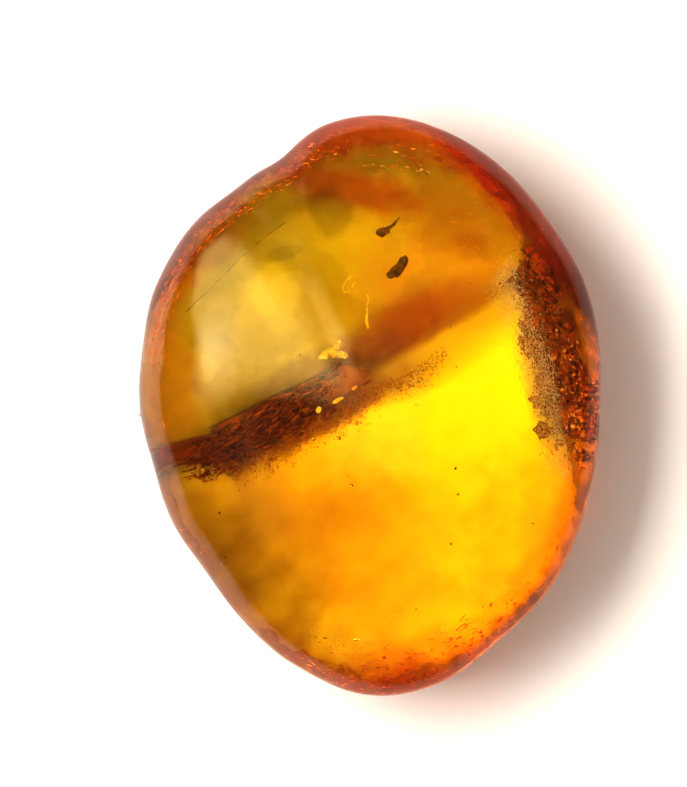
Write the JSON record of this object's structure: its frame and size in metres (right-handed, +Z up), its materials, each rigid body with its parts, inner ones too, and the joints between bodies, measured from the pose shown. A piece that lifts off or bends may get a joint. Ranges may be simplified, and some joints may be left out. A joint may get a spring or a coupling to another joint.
{
  "type": "amber with plant inclusions",
  "caption": "Polished free-form amber pebble with sealed plant scraps, lying on a flat facet.",
  "frame": {"origin": "centre of the bounding box in plan, on the plane of the flat base facet", "axes": "+Y along the long axis towards the notched end, +Z up from the base facet through the dome, +X to the right seen from above"},
  "size_m": [0.0206, 0.0258, 0.0094],
  "materials": {
    "amber": "clear golden resin, polished",
    "dark_scrap": "dark brown plant tissue",
    "golden_scrap": "golden dry plant tissue",
    "pale_fibre": "pale plant fibre"
  },
  "bodies": {
    "root": {"amber_upper": "amber", "amber_lower": "amber", "seed_scrap": "dark_scrap", "bract_scrap": "dark_scrap", "dark_hair": "dark_scrap", "curled_tendril": "golden_scrap", "stem_splinter": "golden_scrap", "bark_crumb": "golden_scrap", "band_flake_1": "golden_scrap", "band_flake_2": "golden_scrap", "band_flake_3": "golden_scrap", "long_fibre": "pale_fibre", "long_fibre_tip": "pale_fibre"}
  },
  "joints": []
}
